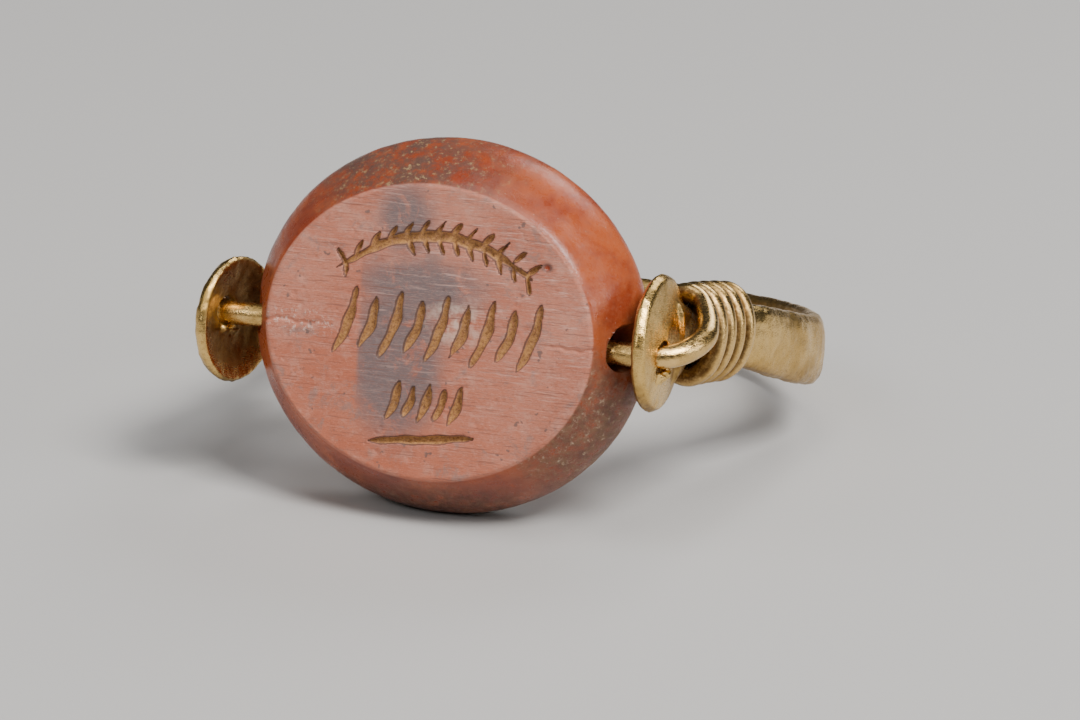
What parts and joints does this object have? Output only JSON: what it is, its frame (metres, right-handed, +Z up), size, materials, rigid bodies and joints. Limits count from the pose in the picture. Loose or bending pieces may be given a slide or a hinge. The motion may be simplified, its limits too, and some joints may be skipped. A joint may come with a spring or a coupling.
{
  "type": "swivel intaglio ring",
  "caption": "Ancient swivel ring: an engraved oval red stone turning on a gold wire between the pierced disc ends of a gold hoop, its wire ends wound round the legs.",
  "frame": {"origin": "on the floor, under the middle of the whole ring's box, as the ring lies on the stone's lower edge and the hoop's back", "axes": "+X along the wire to the end whose leg the picture shows, +Y from the engraved face to the back of the hoop, +Z up"},
  "size_m": [0.0222, 0.025, 0.0141],
  "materials": {
    "jasper": "dull polished red stone with worn, deposit-filled engraving",
    "gold_hoop": "hand-worked pale gold, softly polished, with tarnish in the hollows",
    "gold_wire": "drawn pale gold wire with tarnish between its turns"
  },
  "bodies": {
    "mounting": {"hoop": "gold_hoop", "wire": "gold_wire"},
    "stone": {"stone": "jasper"}
  },
  "joints": [
    {"name": "stone_swivel", "type": "hinge", "parent": "mounting", "child": "stone", "pos_m": [-0.0003, -0.01014, 0.00713], "axis": [0.9996, 0, 0.0297], "continuous": true}
  ]
}
